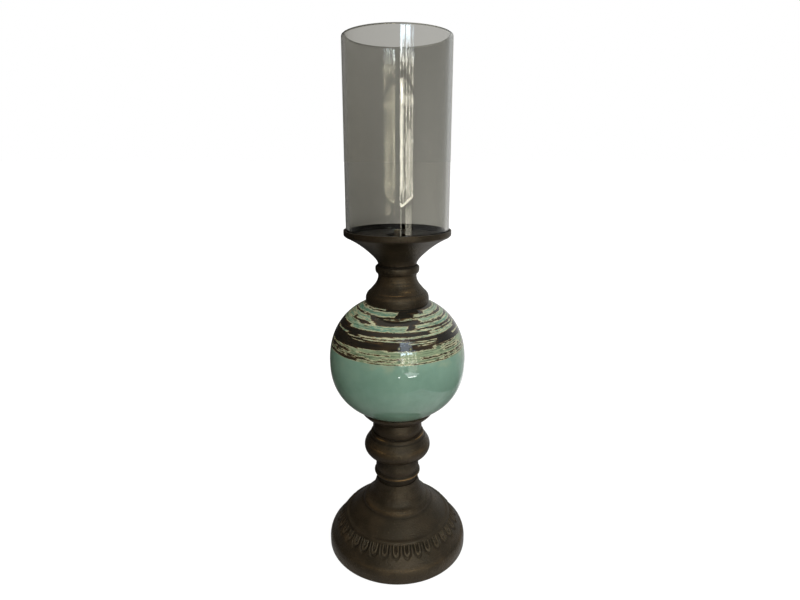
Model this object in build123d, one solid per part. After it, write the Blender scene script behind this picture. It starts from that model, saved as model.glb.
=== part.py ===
from build123d import *
from math import cos, pi, sin
import os

# A tall pillar candle holder, in millimetres. Cast pieces, a glazed ceramic ball and a trumpet
# cup are strung on one threaded rod along Z, and a glass cylinder stands loose in the cup.
# The table is at height 0, and every piece starts where the one below it ends.

# Tie rod and its fasteners
ROD_RADIUS = 3.0
ROD_CLEARANCE = 0.3             # radial, in every bore that the rod passes through
ROD_TAIL = 3.0                  # rod left below the base nut
ROD_TIP = 5.0                   # rod left standing above the candle seat
NUT_ACROSS_FLATS = 10.0
NUT_HEIGHT = 5.0
THREAD_CLEARANCE = 0.05
WASHER_RADIUS = 9.0
WASHER_THICKNESS = 1.6
SPRING_WASHER_RADIUS = 5.9
SPRING_WASHER_THICKNESS = 1.6
SPRING_WASHER_SLIT = 0.8

# Foot casting
FOOT_RADIUS = 75.2
FOOT_BAND_TOP = 6.5
RIDGE_RADIUS = 72.5
RIDGE_HEIGHT = 14.0
LEDGE_RADIUS = 58.3             # outer edge of the plain ring above the tongues
LEDGE_HEIGHT = 33.0
LEDGE_WIDTH = 3.0
LEDGE_RISE = 2.5
COVE_STEP = 0.9                 # how far the cove starts inside the ledge
FOOT_TORUS_RADIUS = 36.8
FOOT_TORUS_HEIGHT = 47.6
FOOT_TORUS_DEPTH = 4.6
FOOT_TORUS_TOP = 54.2
BASE_NECK_RADIUS = 22.4
BASE_HEIGHT = 76.5
RIM_WIDTH = 9.6
RIM_HEIGHT = 6.0
FOOT_WALL = 3.2
BASE_WEB = 14.0                 # metal that the nut pulls on, under the neck
NUT_WELL_RADIUS = 20.0

# Tongue border on the foot
TONGUES = 34
TONGUE_WIDTH = 8.2
TONGUE_LENGTH = 11.6
TONGUE_BAND = 2.1               # width of the raised loop
TONGUE_BAR = 1.5                # width of the bar inside the loop
TONGUE_RELIEF = 0.8
TONGUE_TO_LEDGE = 0.6
FIRST_TONGUE = -91.5            # its angle round the foot, from +X, in degrees

# Felt ring under the foot
FELT_WIDTH = 6.0
FELT_THICKNESS = 1.8
FELT_PROUD = 0.4
FELT_CLEARANCE = 0.2

# Collar, the turned bead above the foot
COLLAR_HEIGHT = 26.4
COLLAR_RECESS_RADIUS = 21.2
COLLAR_RECESS_HEIGHT = 6.2
COLLAR_LIP_RADIUS = 24.8
COLLAR_LIP_THICKNESS = 4.4
COLLAR_BEAD_RADIUS = 23.2
COLLAR_TOP_RADIUS = 21.0
COLLAR_CORE_RADIUS = 16.0

# Bulb, the widest turning of the stem
BULB_HEIGHT = 32.4
BULB_FOOT_RADIUS = 26.2
BULB_RIDGE_RADIUS = 30.8
BULB_RIDGE_HEIGHT = 24.4        # above the bulb's own foot
BULB_LIP_RADIUS = 28.2
BULB_SWELL = 6.4                # how far the belly stands out of a straight side
BULB_MOUTH_RADIUS = 14.0
BULB_CORE_RADIUS = 24.0

# Ball dish, which carries the ball
DISH_BEAD_RADIUS = 25.2
DISH_BEAD_HEIGHT = 12.0
DISH_WAIST_RADIUS = 23.8
DISH_RIM_RADIUS = 38.9
DISH_RIM_HEIGHT = 24.6          # above the dish's own foot
DISH_SEAT_HEIGHT = 19.7         # above the dish's own foot
DISH_CORE_RADIUS = 17.0

# Soft seals between the ball and the castings
SEAL_THICKNESS = 1.2
SEAL_INNER_RADIUS = 9.0
SEAL_OUTER_RADIUS = 20.0
BALL_GAP = 0.5                  # between the ball and the castings that cup it

# Glazed ball: an oval drum, a little flatter below its equator than above
BALL_RADIUS = 69.4
BALL_RISE = 66.1                # half height above the equator
BALL_DROP = 60.05               # half height below the equator
BALL_SQUARENESS = 2.276         # 2 is an ellipse, more is boxier
BALL_FLAT_BELOW = 58.0          # ground flat, below the equator
BALL_FLAT_ABOVE = 64.3          # ground flat, above the equator
BALL_WALL = 5.0
BALL_HOLE_RADIUS = 8.0
BALL_STEPS = 8                  # curve points in a quarter of the outline

# Neck casting on top of the ball
NECK_BEAD_RADIUS = 31.2
NECK_BEAD_HEIGHT = 8.4
NECK_GROOVE = 1.0
NECK_WAIST_SQUEEZE = 3.6        # how far the waist is drawn in from a straight side
NECK_COLLAR_RADIUS = 20.2
NECK_COLLAR_HEIGHT = 7.4
NECK_COLLAR_SWELL = 1.6
NECK_HEIGHT = 33.9              # from the ball seal to the cup
NECK_CORE_RADIUS = 13.5
NECK_SEAT_WEB = 6.0

# Trumpet cup
CUP_FOOT_RADIUS = 18.9
CUP_HEIGHT = 29.4               # from the neck to the candle seat
CUP_RIM_RADIUS = 52.4
CUP_RIM_WALL = 1.8
CUP_RIM_RISE = 5.0              # above the candle seat
CUP_LIP_STEP = 1.4              # how far the upright rim stands out past the flare
CUP_LIP_DROP = 1.3
CUP_WALL = 3.2
CUP_FLOOR = 4.5
CUP_WELL_RADIUS = 11.0
CUP_WELL_DEPTH = 9.3
GLASS_CHANNEL = 0.5             # depth of the channel round the candle seat, for the glass

# Glass cylinder
GLASS_CLEARANCE = 0.6           # between the glass and each side of its channel
GLASS_WALL = 3.5
GLASS_HEIGHT = 177.5
GLASS_EDGE = 0.6

# Heights of the joints between the pieces
COLLAR_FOOT = BASE_HEIGHT
BULB_FOOT = COLLAR_FOOT + COLLAR_HEIGHT
DISH_FOOT = BULB_FOOT + BULB_HEIGHT
DISH_SEAT = DISH_FOOT + DISH_SEAT_HEIGHT
BALL_FOOT = DISH_SEAT + SEAL_THICKNESS
BALL_EQUATOR = BALL_FOOT + BALL_FLAT_BELOW
BALL_TOP = BALL_EQUATOR + BALL_FLAT_ABOVE
NECK_SEAT = BALL_TOP + SEAL_THICKNESS
CUP_FOOT = NECK_SEAT + NECK_HEIGHT
CANDLE_SEAT = CUP_FOOT + CUP_HEIGHT
GLASS_SEAT = CANDLE_SEAT - GLASS_CHANNEL
WELL_FLOOR = CANDLE_SEAT - CUP_WELL_DEPTH
NUT_SEAT = BASE_HEIGHT - BASE_WEB

BORE_RADIUS = ROD_RADIUS + ROD_CLEARANCE
CHANNEL_RADIUS = CUP_RIM_RADIUS - CUP_RIM_WALL
GLASS_RADIUS = CHANNEL_RADIUS - GLASS_CLEARANCE
CANDLE_SEAT_RADIUS = GLASS_RADIUS - GLASS_WALL - GLASS_CLEARANCE


def curve(start, end, *bows):
    """A curved stretch of an outline. Its points lie at even steps from start to end, each out of
    the straight line by its bow, a share of the length: outwards if positive, inwards if not."""
    run = (end[0] - start[0], end[1] - start[1])
    points = []
    for step, bow in enumerate(bows, 1):
        share = step / (len(bows) + 1)
        points.append((start[0] + share * run[0] + bow * run[1],
                       start[1] + share * run[1] - bow * run[0]))
    return [start, *points, end]


def turned(*outline):
    """A solid turned about Z. The outline goes round with the metal on its left: a point is
    (radius, height), and a list of points is a smooth curve through them."""
    stretches = [item if isinstance(item, list) else [item] for item in outline]
    edges = []
    for stretch, following in zip(stretches, stretches[1:] + stretches[:1]):
        points = [(radius, 0, height) for radius, height in stretch]
        if len(points) > 1:
            edges.append(Spline(*points))
        next_point = (following[0][0], 0, following[0][1])
        if (Vector(*points[-1]) - Vector(*next_point)).length > 1e-6:
            edges.append(Line(points[-1], next_point))
    return revolve(Face(Wire(edges)), axis=Axis.Z)


def ball_curve(inset, low, high):
    """The ball's outline from height low up to height high, drawn in by inset."""
    points = []
    for side, half_height in ((-1, BALL_DROP - inset), (1, BALL_RISE - inset)):
        for step in range(BALL_STEPS + 1):
            turn = step / BALL_STEPS * pi / 2
            if side < 0:
                turn = pi / 2 - turn
            radius = (BALL_RADIUS - inset) * cos(turn) ** (2 / BALL_SQUARENESS)
            height = BALL_EQUATOR + side * half_height * sin(turn) ** (2 / BALL_SQUARENESS)
            if low < height < high:
                points.append((radius, height))
    middle = len(points) // 2
    del points[middle]          # the equator is in both halves
    start = (ball_radius(inset, low), low)
    end = (ball_radius(inset, high), high)
    return [start, *points, end]


def ball_radius(inset, height):
    """The ball's radius at a height, drawn in by inset."""
    half_height = BALL_RISE if height > BALL_EQUATOR else BALL_DROP
    share = abs(height - BALL_EQUATOR) / (half_height - inset)
    return (BALL_RADIUS - inset) * (1 - share ** BALL_SQUARENESS) ** (1 / BALL_SQUARENESS)


def ball_height(radius, side):
    """The height of the ball's surface at a radius: below the equator for side -1, above for 1."""
    half_height = BALL_RISE if side > 0 else BALL_DROP
    share = radius / BALL_RADIUS
    return BALL_EQUATOR + side * half_height * (1 - share ** BALL_SQUARENESS) ** (1 / BALL_SQUARENESS)


def inset(start, end, wall):
    """A straight stretch of an outline, moved into the metal by wall and run backwards."""
    along = Vector(end[0] - start[0], end[1] - start[1]).normalized() * wall
    return (end[0] - along.Y, end[1] + along.X), (start[0] - along.Y, start[1] + along.X)


def ring(inner, outer, low, high):
    """A flat ring about Z."""
    return turned((inner, low), (outer, low), (outer, high), (inner, high))


def hex_nut(low):
    """A hexagon nut about Z with its corners turned off, standing on height low."""
    corner = NUT_ACROSS_FLATS / 3 ** 0.5
    chamfer = corner - NUT_ACROSS_FLATS / 2
    prism = extrude(Plane.XY.offset(low) * RegularPolygon(corner, 6), NUT_HEIGHT)
    bore = ROD_RADIUS + THREAD_CLEARANCE
    high = low + NUT_HEIGHT
    blank = turned((bore, low), (corner - chamfer, low), (corner, low + chamfer),
                   (corner, high - chamfer), (corner - chamfer, high), (bore, high))
    return prism & blank


def tongue():
    """One tongue of the border: a raised loop, open to the ledge, with a bar inside it. It is
    drawn flat on the slope of the foot at the +X side, and sunk by its relief."""
    slope = Vector(LEDGE_RADIUS - RIDGE_RADIUS, 0, LEDGE_HEIGHT - RIDGE_HEIGHT).normalized()
    outward = Vector(slope.Z, 0, -slope.X)
    ledge = Vector(LEDGE_RADIUS, 0, LEDGE_HEIGHT)
    top = ledge - slope * TONGUE_TO_LEDGE
    face = Plane(top - outward * TONGUE_RELIEF, x_dir=(0, 1, 0), z_dir=outward)
    half = TONGUE_WIDTH / 2
    inner = half - TONGUE_BAND

    def drop(half_width, length):
        side = length - half_width
        edge = [Line((-half_width, 0), (-half_width, -side)),
                ThreePointArc((-half_width, -side), (0, -length), (half_width, -side)),
                Line((half_width, -side), (half_width, 0)),
                Line((half_width, 0), (-half_width, 0))]
        return make_face(edge)

    loop = drop(half, TONGUE_LENGTH) - drop(inner, TONGUE_LENGTH - TONGUE_BAND)
    bar = drop(TONGUE_BAR / 2, TONGUE_LENGTH - 2 * TONGUE_BAND)
    return [extrude(face * shape, 2 * TONGUE_RELIEF) for shape in (loop, bar)]


def base_casting():
    """The hollow foot: rim, ridge, sloping side with its tongues, ledge, cove, torus and bell."""
    bottom = FELT_PROUD
    ledge = (LEDGE_RADIUS, LEDGE_HEIGHT)
    ledge_inner = (LEDGE_RADIUS - LEDGE_WIDTH, LEDGE_HEIGHT + LEDGE_RISE)
    cove_foot = (ledge_inner[0] - COVE_STEP, ledge_inner[1] - COVE_STEP / 2)
    torus = (FOOT_TORUS_RADIUS, FOOT_TORUS_HEIGHT)
    torus_top = (FOOT_TORUS_RADIUS - FOOT_TORUS_DEPTH, FOOT_TORUS_TOP)
    groove_outer = FOOT_RADIUS - (RIM_WIDTH - FELT_WIDTH) / 2 + FELT_CLEARANCE
    groove_inner = groove_outer - FELT_WIDTH - 2 * FELT_CLEARANCE
    groove_top = FELT_THICKNESS
    inner = FOOT_RADIUS - RIM_WIDTH
    neck = (BASE_NECK_RADIUS, BASE_HEIGHT)
    casting = turned(
        (inner, bottom),
        (groove_inner, bottom),
        (groove_inner, groove_top),
        (groove_outer, groove_top),
        (groove_outer, bottom),
        (FOOT_RADIUS, bottom),
        curve((FOOT_RADIUS, FOOT_BAND_TOP), (RIDGE_RADIUS, RIDGE_HEIGHT), 0.097),
        curve(ledge, ledge_inner, 0.15),
        curve(cove_foot, (torus[0] + 0.2, torus[1]), 0.03, 0.038, 0.023),
        curve(torus, torus_top, 0.098, 0.125, 0.093),
        curve(torus_top, neck, -0.049, -0.047, -0.036),
        (BORE_RADIUS, BASE_HEIGHT),
        (BORE_RADIUS, NUT_SEAT),
        (NUT_WELL_RADIUS, NUT_SEAT),
        inset(torus_top, neck, FOOT_WALL)[1],
        *inset(cove_foot, torus, FOOT_WALL),
        *inset((RIDGE_RADIUS, RIDGE_HEIGHT), ledge, FOOT_WALL),
        (inner, RIM_HEIGHT),
    )
    pieces = tongue()
    copies = [Rot(0, 0, FIRST_TONGUE + 360 * number / TONGUES) * piece
              for number in range(TONGUES) for piece in pieces]
    return casting + copies


def base_felt():
    """The felt ring in the groove under the rim. It stands a little proud, and meets the table."""
    outer = FOOT_RADIUS - (RIM_WIDTH - FELT_WIDTH) / 2
    return ring(outer - FELT_WIDTH, outer, 0, FELT_THICKNESS)


def base_washer():
    return ring(BORE_RADIUS, WASHER_RADIUS, NUT_SEAT - WASHER_THICKNESS, NUT_SEAT)


def base_spring_washer():
    """The split ring between the base washer and its nut, with the slit on the -Y side."""
    high = NUT_SEAT - WASHER_THICKNESS
    low = high - SPRING_WASHER_THICKNESS
    washer = ring(BORE_RADIUS, SPRING_WASHER_RADIUS, low, high)
    slit = Pos(0, -SPRING_WASHER_RADIUS, (low + high) / 2) * Rot(0, 15, 0) * Box(
        SPRING_WASHER_SLIT, 2 * SPRING_WASHER_RADIUS - 2, 3 * SPRING_WASHER_THICKNESS)
    return washer - slit


def base_nut():
    return hex_nut(NUT_SEAT - WASHER_THICKNESS - SPRING_WASHER_THICKNESS - NUT_HEIGHT)


def tie_rod():
    """The rod from below the base nut to above the candle seat, with chamfered ends."""
    nut_foot = NUT_SEAT - WASHER_THICKNESS - SPRING_WASHER_THICKNESS - NUT_HEIGHT
    low = nut_foot - ROD_TAIL
    high = CANDLE_SEAT + ROD_TIP
    rod = Pos(0, 0, low) * Cylinder(ROD_RADIUS, high - low, align=(Align.CENTER, Align.CENTER, Align.MIN))
    return chamfer(rod.edges().filter_by(GeomType.CIRCLE), ROD_RADIUS / 5)


def stem_collar():
    """The turned bead above the foot, with a dark recess and a rolled lip below it."""
    foot = COLLAR_FOOT
    lip = foot + COLLAR_RECESS_HEIGHT
    bead = lip + COLLAR_LIP_THICKNESS
    top = foot + COLLAR_HEIGHT
    web = COLLAR_HEIGHT / 5
    lip_back = (COLLAR_RECESS_RADIUS + COLLAR_LIP_RADIUS) / 2
    return turned(
        (COLLAR_CORE_RADIUS, foot),
        (COLLAR_RECESS_RADIUS, foot),
        (COLLAR_RECESS_RADIUS, lip - 0.4),
        curve((lip_back, lip), (lip_back, bead), 0.3, 0.4, 0.3),
        curve((COLLAR_BEAD_RADIUS, bead), (COLLAR_TOP_RADIUS, top), 0.073, 0.088, 0.058),
        (BORE_RADIUS, top),
        (BORE_RADIUS, top - web),
        (COLLAR_CORE_RADIUS, top - web),
    )


def stem_bulb():
    """The cored bulb: a round belly, a ridge, and a sharp lip at its top."""
    foot = BULB_FOOT
    ridge = foot + BULB_RIDGE_HEIGHT
    top = foot + BULB_HEIGHT
    swell = BULB_SWELL / BULB_RIDGE_HEIGHT
    web = BULB_HEIGHT / 7
    return turned(
        (BULB_MOUTH_RADIUS, foot),
        (COLLAR_TOP_RADIUS, foot),
        curve((BULB_FOOT_RADIUS, foot + 0.4), (BULB_RIDGE_RADIUS, ridge),
              0.45 * swell, 0.78 * swell, 0.97 * swell, 0.92 * swell, 0.56 * swell),
        curve((BULB_RIDGE_RADIUS, ridge), (BULB_LIP_RADIUS, top - 0.6), -0.021),
        (BULB_LIP_RADIUS - 0.5, top),
        (BORE_RADIUS, top),
        (BORE_RADIUS, top - web),
        (BULB_MOUTH_RADIUS, top - web),
        (BULB_CORE_RADIUS, top - 2 * web),
        (BULB_CORE_RADIUS, foot + 2 * web),
        (BULB_MOUTH_RADIUS, foot + web),
    )


def ball_dish():
    """The bead and the flared dish that carry the ball. Its upper side cups the ball."""
    foot = DISH_FOOT
    waist = foot + DISH_BEAD_HEIGHT
    rim = foot + DISH_RIM_HEIGHT
    rim_inner = DISH_RIM_RADIUS - 0.5
    cup_low = SEAL_OUTER_RADIUS + 4
    cup_points = [(rim_inner + share * (cup_low - rim_inner)) for share in (0, 0.33, 0.67, 1)]
    cupped = [(radius, ball_height(radius, -1) - BALL_GAP) for radius in cup_points]
    return turned(
        (DISH_CORE_RADIUS, foot),
        curve((DISH_BEAD_RADIUS, foot), (DISH_WAIST_RADIUS, waist), 0.079, 0.087, 0.059),
        curve((DISH_WAIST_RADIUS + 0.2, waist + 0.2), (DISH_RIM_RADIUS, rim), 0.06, 0.1, 0.102, 0.08),
        cupped,
        (SEAL_OUTER_RADIUS + 2, DISH_SEAT),
        (BORE_RADIUS, DISH_SEAT),
        (BORE_RADIUS, waist + 2),
        (DISH_CORE_RADIUS, waist + 2),
    )


def lower_seal():
    return ring(SEAL_INNER_RADIUS, SEAL_OUTER_RADIUS, DISH_SEAT, BALL_FOOT)


def ceramic_ball():
    """The hollow glazed ball, ground flat round its two pole holes."""
    inner_low = BALL_FOOT + BALL_WALL
    inner_high = BALL_TOP - BALL_WALL
    inside = ball_curve(BALL_WALL, inner_low, inner_high)
    return turned(
        (BALL_HOLE_RADIUS, BALL_FOOT),
        ball_curve(0, BALL_FOOT, BALL_TOP),
        (BALL_HOLE_RADIUS, BALL_TOP),
        (BALL_HOLE_RADIUS, inner_high),
        inside[::-1],
        (BALL_HOLE_RADIUS, inner_low),
    )


def upper_seal():
    return ring(SEAL_INNER_RADIUS, SEAL_OUTER_RADIUS, BALL_TOP, NECK_SEAT)


def neck_casting():
    """The bell on top of the ball: a round bead, a groove, a waist and a small collar."""
    top = CUP_FOOT
    bead_foot = ball_height(NECK_BEAD_RADIUS, 1) + BALL_GAP
    bead_top = bead_foot + NECK_BEAD_HEIGHT
    collar = top - NECK_COLLAR_HEIGHT
    squeeze = NECK_WAIST_SQUEEZE / (collar - bead_top)
    swell = NECK_COLLAR_SWELL / NECK_COLLAR_HEIGHT
    cup_low = SEAL_OUTER_RADIUS + 3
    cup_points = [(cup_low + share * (NECK_BEAD_RADIUS - 0.6 - cup_low)) for share in (0, 0.33, 0.67, 1)]
    cupped = [(radius, ball_height(radius, 1) + BALL_GAP) for radius in cup_points]
    return turned(
        (BORE_RADIUS, NECK_SEAT),
        (SEAL_OUTER_RADIUS + 1.5, NECK_SEAT),
        cupped,
        curve((NECK_BEAD_RADIUS, bead_foot + 0.3), (NECK_BEAD_RADIUS - NECK_GROOVE, bead_top), 0.098, 0.087),
        curve((NECK_BEAD_RADIUS - 1.3 * NECK_GROOVE, bead_top + 0.4), (NECK_COLLAR_RADIUS, collar - 0.2),
              -0.38 * squeeze, -0.68 * squeeze, -0.92 * squeeze, -squeeze, -0.75 * squeeze),
        curve((NECK_COLLAR_RADIUS, collar), (NECK_COLLAR_RADIUS, top),
              0.8 * swell, swell, 0.83 * swell),
        (NECK_CORE_RADIUS, top),
        (NECK_CORE_RADIUS, NECK_SEAT + NECK_SEAT_WEB),
        (BORE_RADIUS, NECK_SEAT + NECK_SEAT_WEB),
    )


def candle_cup():
    """The trumpet cup: a cored flare, an upright rim, a channel for the glass, and the candle
    seat with the well for the cup's nut."""
    foot = CUP_FOOT
    seat = CANDLE_SEAT
    lip = seat - CUP_LIP_DROP
    rim = seat + CUP_RIM_RISE
    boss = CUP_WELL_RADIUS + CUP_WALL
    boss_foot = WELL_FLOOR - CUP_WALL
    lip_radius = CUP_RIM_RADIUS - CUP_LIP_STEP
    flare = curve((CUP_FOOT_RADIUS, foot), (lip_radius, lip), -0.067, -0.078, -0.07, -0.045)
    core_mouth = CUP_FOOT_RADIUS - CUP_WALL
    core_edge = lip_radius - 2.5 * CUP_WALL
    core_top = seat - CUP_FLOOR
    core = curve((core_mouth, foot), (core_edge, core_top), -0.075, -0.085, -0.06)
    return turned(
        (core_mouth, foot),
        flare,
        (CUP_RIM_RADIUS, seat + 0.7),
        (CUP_RIM_RADIUS, rim - 0.4),
        (CUP_RIM_RADIUS - 0.4, rim),
        (CHANNEL_RADIUS, rim),
        (CHANNEL_RADIUS, GLASS_SEAT),
        (CANDLE_SEAT_RADIUS, GLASS_SEAT),
        (CANDLE_SEAT_RADIUS, seat),
        (CUP_WELL_RADIUS, seat),
        (CUP_WELL_RADIUS, WELL_FLOOR),
        (BORE_RADIUS, WELL_FLOOR),
        (BORE_RADIUS, boss_foot),
        (boss, boss_foot),
        (boss, core_top),
        core[::-1],
    )


def cup_washer():
    return ring(BORE_RADIUS, WASHER_RADIUS, WELL_FLOOR, WELL_FLOOR + WASHER_THICKNESS)


def cup_nut():
    return hex_nut(WELL_FLOOR + WASHER_THICKNESS)


def glass_cylinder():
    """The open glass tube that stands in the cup's channel, with ground edges."""
    inner = GLASS_RADIUS - GLASS_WALL
    low = GLASS_SEAT
    high = low + GLASS_HEIGHT
    return turned(
        (inner + GLASS_EDGE, low),
        (GLASS_RADIUS - GLASS_EDGE, low),
        (GLASS_RADIUS, low + GLASS_EDGE),
        (GLASS_RADIUS, high - GLASS_EDGE),
        (GLASS_RADIUS - GLASS_EDGE, high),
        (inner + GLASS_EDGE, high),
        (inner, high - GLASS_EDGE),
        (inner, low + GLASS_EDGE),
    )


PIECES = (base_felt, base_casting, base_washer, base_spring_washer, base_nut, tie_rod, stem_collar,
          stem_bulb, ball_dish, lower_seal, ceramic_ball, upper_seal, neck_casting, candle_cup,
          cup_washer, cup_nut, glass_cylinder)

os.makedirs("parts", exist_ok=True)
for piece in PIECES:
    export_step(piece(), f"parts/{piece.__name__}.step")
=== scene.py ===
import math

import bpy
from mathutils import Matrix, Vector


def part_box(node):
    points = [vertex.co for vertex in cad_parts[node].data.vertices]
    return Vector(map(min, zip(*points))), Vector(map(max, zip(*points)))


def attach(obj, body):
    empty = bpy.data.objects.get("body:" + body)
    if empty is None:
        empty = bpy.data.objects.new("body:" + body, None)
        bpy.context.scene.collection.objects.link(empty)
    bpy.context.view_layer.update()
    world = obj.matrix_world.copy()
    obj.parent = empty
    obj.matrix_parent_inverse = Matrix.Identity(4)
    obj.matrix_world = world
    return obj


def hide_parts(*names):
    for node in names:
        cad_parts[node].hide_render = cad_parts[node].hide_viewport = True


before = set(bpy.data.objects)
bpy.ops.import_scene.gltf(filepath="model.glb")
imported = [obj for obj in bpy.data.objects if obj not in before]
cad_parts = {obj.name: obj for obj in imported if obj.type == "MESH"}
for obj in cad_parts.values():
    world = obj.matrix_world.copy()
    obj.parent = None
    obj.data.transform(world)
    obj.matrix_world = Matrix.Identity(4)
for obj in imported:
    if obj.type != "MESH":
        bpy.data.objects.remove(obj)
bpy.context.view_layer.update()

# A tall pillar candle holder: cast pieces, a glazed ball and a trumpet cup on one rod along Z,
# and a loose smoked glass. Outlines are in millimetres, as (radius, height) from the axis and
# the table. The points inside curved() lie on a smooth curve, and any other one is a corner.
MM = 0.001
ON_CURVE = "AUTO"
CORNER = "VECTOR"


def curved(*points):
    return [(*point, ON_CURVE) for point in points]


def foot_of(node):
    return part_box(node)[0][2] / MM


def top_of(node):
    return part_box(node)[1][2] / MM


def radius_of(node):
    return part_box(node)[1][0] / MM


# ---------------- modelling

TURNED_COLUMNS = 192
FINE_COLUMNS = 256              # for the ball and the glass
CURVE_STEPS = 5                 # edges between two points of a curve
MERGE = 0.00001                 # metres between vertices that become one
SHARP = math.radians(33)
FLAT_TO_SMOOTH = math.radians(40)


def only(thing):
    """Selects one object and nothing else, and makes it active."""
    bpy.ops.object.select_all(action="DESELECT")
    thing.select_set(True)
    bpy.context.view_layer.objects.active = thing


def edit(thing):
    """Opens one object's mesh for editing, with all of it selected."""
    only(thing)
    bpy.ops.object.mode_set(mode="EDIT")
    bpy.ops.mesh.select_all(action="SELECT")


def drawn(name, outline, closed=True, steps=CURVE_STEPS):
    """A line through an outline's points, made a mesh of edges and left selected."""
    bpy.ops.object.select_all(action="DESELECT")
    bpy.ops.curve.primitive_bezier_curve_add(radius=1, location=(0, 0, 0))
    curve = bpy.context.object
    curve.name = name
    curve.data.dimensions = "3D"
    curve.data.resolution_u = steps
    line = curve.data.splines[0]
    line.use_cyclic_u = closed
    line.bezier_points.add(len(outline) - 2)    # the new curve already has two
    for knot, point in zip(line.bezier_points, outline):
        knot.co = (point[0] * MM, 0, point[1] * MM)
    for knot, point in zip(line.bezier_points, outline):
        knot.handle_left_type = knot.handle_right_type = point[2] if len(point) > 2 else CORNER
    only(curve)
    bpy.ops.object.convert(target="MESH")
    piece = bpy.context.object
    piece.data.name = name
    return piece


def spun(piece, columns, turn=2 * math.pi, copies=False):
    """Spins the whole mesh round Z, as faces or as separate copies, and merges what meets."""
    edit(piece)
    bpy.ops.mesh.spin(steps=columns, angle=turn, dupli=copies, center=(0, 0, 0), axis=(0, 0, 1))
    bpy.ops.mesh.select_all(action="SELECT")
    bpy.ops.mesh.remove_doubles(threshold=MERGE)
    bpy.ops.mesh.normals_make_consistent(inside=False)
    bpy.ops.object.mode_set(mode="OBJECT")


def softened(piece, width):
    """Smooth shading, and a small rounding along the sharp edges that leaves flat faces flat."""
    only(piece)
    bpy.ops.object.shade_smooth_by_angle(angle=FLAT_TO_SMOOTH)
    if width:
        edges = piece.modifiers.new("soft edges", "BEVEL")
        edges.limit_method = "ANGLE"
        edges.angle_limit = SHARP
        edges.width = width * MM
        edges.segments = 2
        edges.harden_normals = True
        bpy.ops.object.modifier_apply(modifier=edges.name)
        bpy.ops.object.shade_smooth_by_angle(angle=FLAT_TO_SMOOTH)


def turned(name, outline, columns=TURNED_COLUMNS, soften=0.3):
    """A closed outline, spun once round Z and softened along its sharp edges."""
    piece = drawn(name, outline)
    spun(piece, columns)
    softened(piece, soften)
    return piece


def dress(thing, material):
    thing.data.materials.clear()
    thing.data.materials.append(material)


def fitted(piece, body, material, node):
    """Gives a piece its body and its finish, and lets it stand for its CAD node."""
    dress(piece, material)
    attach(piece, body)
    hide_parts(node)


# ---------------- shader wiring

def add(tree, kind, **settings):
    made = tree.nodes.new(kind)
    for key, value in settings.items():
        setattr(made, key, value)
    return made


def feed(tree, socket, value):
    """Puts a number, a colour or another node's output into a socket."""
    if isinstance(value, bpy.types.NodeSocket):
        tree.links.new(value, socket)
    else:
        socket.default_value = value


def put(tree, node, **values):
    """Feeds a node's inputs by name, with _ for a space, and gives its outputs."""
    for label, value in values.items():
        feed(tree, node.inputs[label.replace("_", " ")], value)
    return node.outputs


def calc(tree, operation, *values, clamp=False):
    made = add(tree, "ShaderNodeMath", operation=operation, use_clamp=clamp)
    for socket, value in zip(made.inputs, values):
        feed(tree, socket, value)
    return made.outputs[0]


def plus(tree, first, second):
    return calc(tree, "ADD", first, second)


def minus(tree, first, second, clamp=False):
    return calc(tree, "SUBTRACT", first, second, clamp=clamp)


def times(tree, first, second):
    return calc(tree, "MULTIPLY", first, second)


def most(tree, result, *others):
    for other in others:
        result = calc(tree, "MAXIMUM", result, other)
    return result


def least(tree, result, *others):
    for other in others:
        result = calc(tree, "MINIMUM", result, other)
    return result


def unsigned(tree, value):
    return calc(tree, "ABSOLUTE", value)


def graded(tree, share, low, high):
    """A number that goes from low to high with a share from 0 to 1."""
    return plus(tree, low, times(tree, share, high - low))


def blend(tree, share, first, second):
    """A colour between two colours, by a share from 0 to 1."""
    made = add(tree, "ShaderNodeMix", data_type="RGBA")
    return put(tree, made, Factor=share, A=first, B=second)["Result"]


def ramp(tree, value, none, full):
    """A soft step from 0 where the value is none to 1 where it is full."""
    made = add(tree, "ShaderNodeMapRange", interpolation_type="SMOOTHSTEP")
    return put(tree, made, Value=value, From_Min=none, From_Max=full)[0]


def place(tree, scale=(1, 1, 1), shift=(0, 0, 0)):
    """Object coordinates in metres, stretched and shifted."""
    spot = add(tree, "ShaderNodeTexCoord").outputs["Object"]
    made = add(tree, "ShaderNodeMapping")
    return put(tree, made, Vector=spot, Scale=scale, Location=shift)["Vector"]


def apart(tree, vector):
    """A vector's X, Y and Z."""
    return put(tree, add(tree, "ShaderNodeSeparateXYZ"), Vector=vector)


def length_of(tree, vector):
    made = add(tree, "ShaderNodeVectorMath", operation="LENGTH")
    return put(tree, made, Vector=vector)["Value"]


def noise(tree, vector, scale, detail, rough, bend=0.0):
    return put(tree, add(tree, "ShaderNodeTexNoise"), Vector=vector, Scale=scale, Detail=detail,
               Roughness=rough, Distortion=bend)["Fac"]


def round_the_axis(tree):
    """The angle round Z in degrees, 0 at the front and 90 at +X, and the height in mm."""
    spot = apart(tree, add(tree, "ShaderNodeTexCoord").outputs["Object"])
    turn = calc(tree, "ARCTAN2", spot["X"], times(tree, spot["Y"], -1.0))
    return times(tree, turn, 180 / math.pi), times(tree, spot["Z"], 1 / MM)


def group(name, inputs, outputs):
    """A shader node group with named numbers: its tree, what it is given and what it gives."""
    tree = bpy.data.node_groups.new(name, "ShaderNodeTree")
    for label in inputs:
        tree.interface.new_socket(label, in_out="INPUT", socket_type="NodeSocketFloat")
    for label in outputs:
        tree.interface.new_socket(label, in_out="OUTPUT", socket_type="NodeSocketFloat")
    return tree, add(tree, "NodeGroupInput").outputs, add(tree, "NodeGroupOutput").inputs


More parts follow.
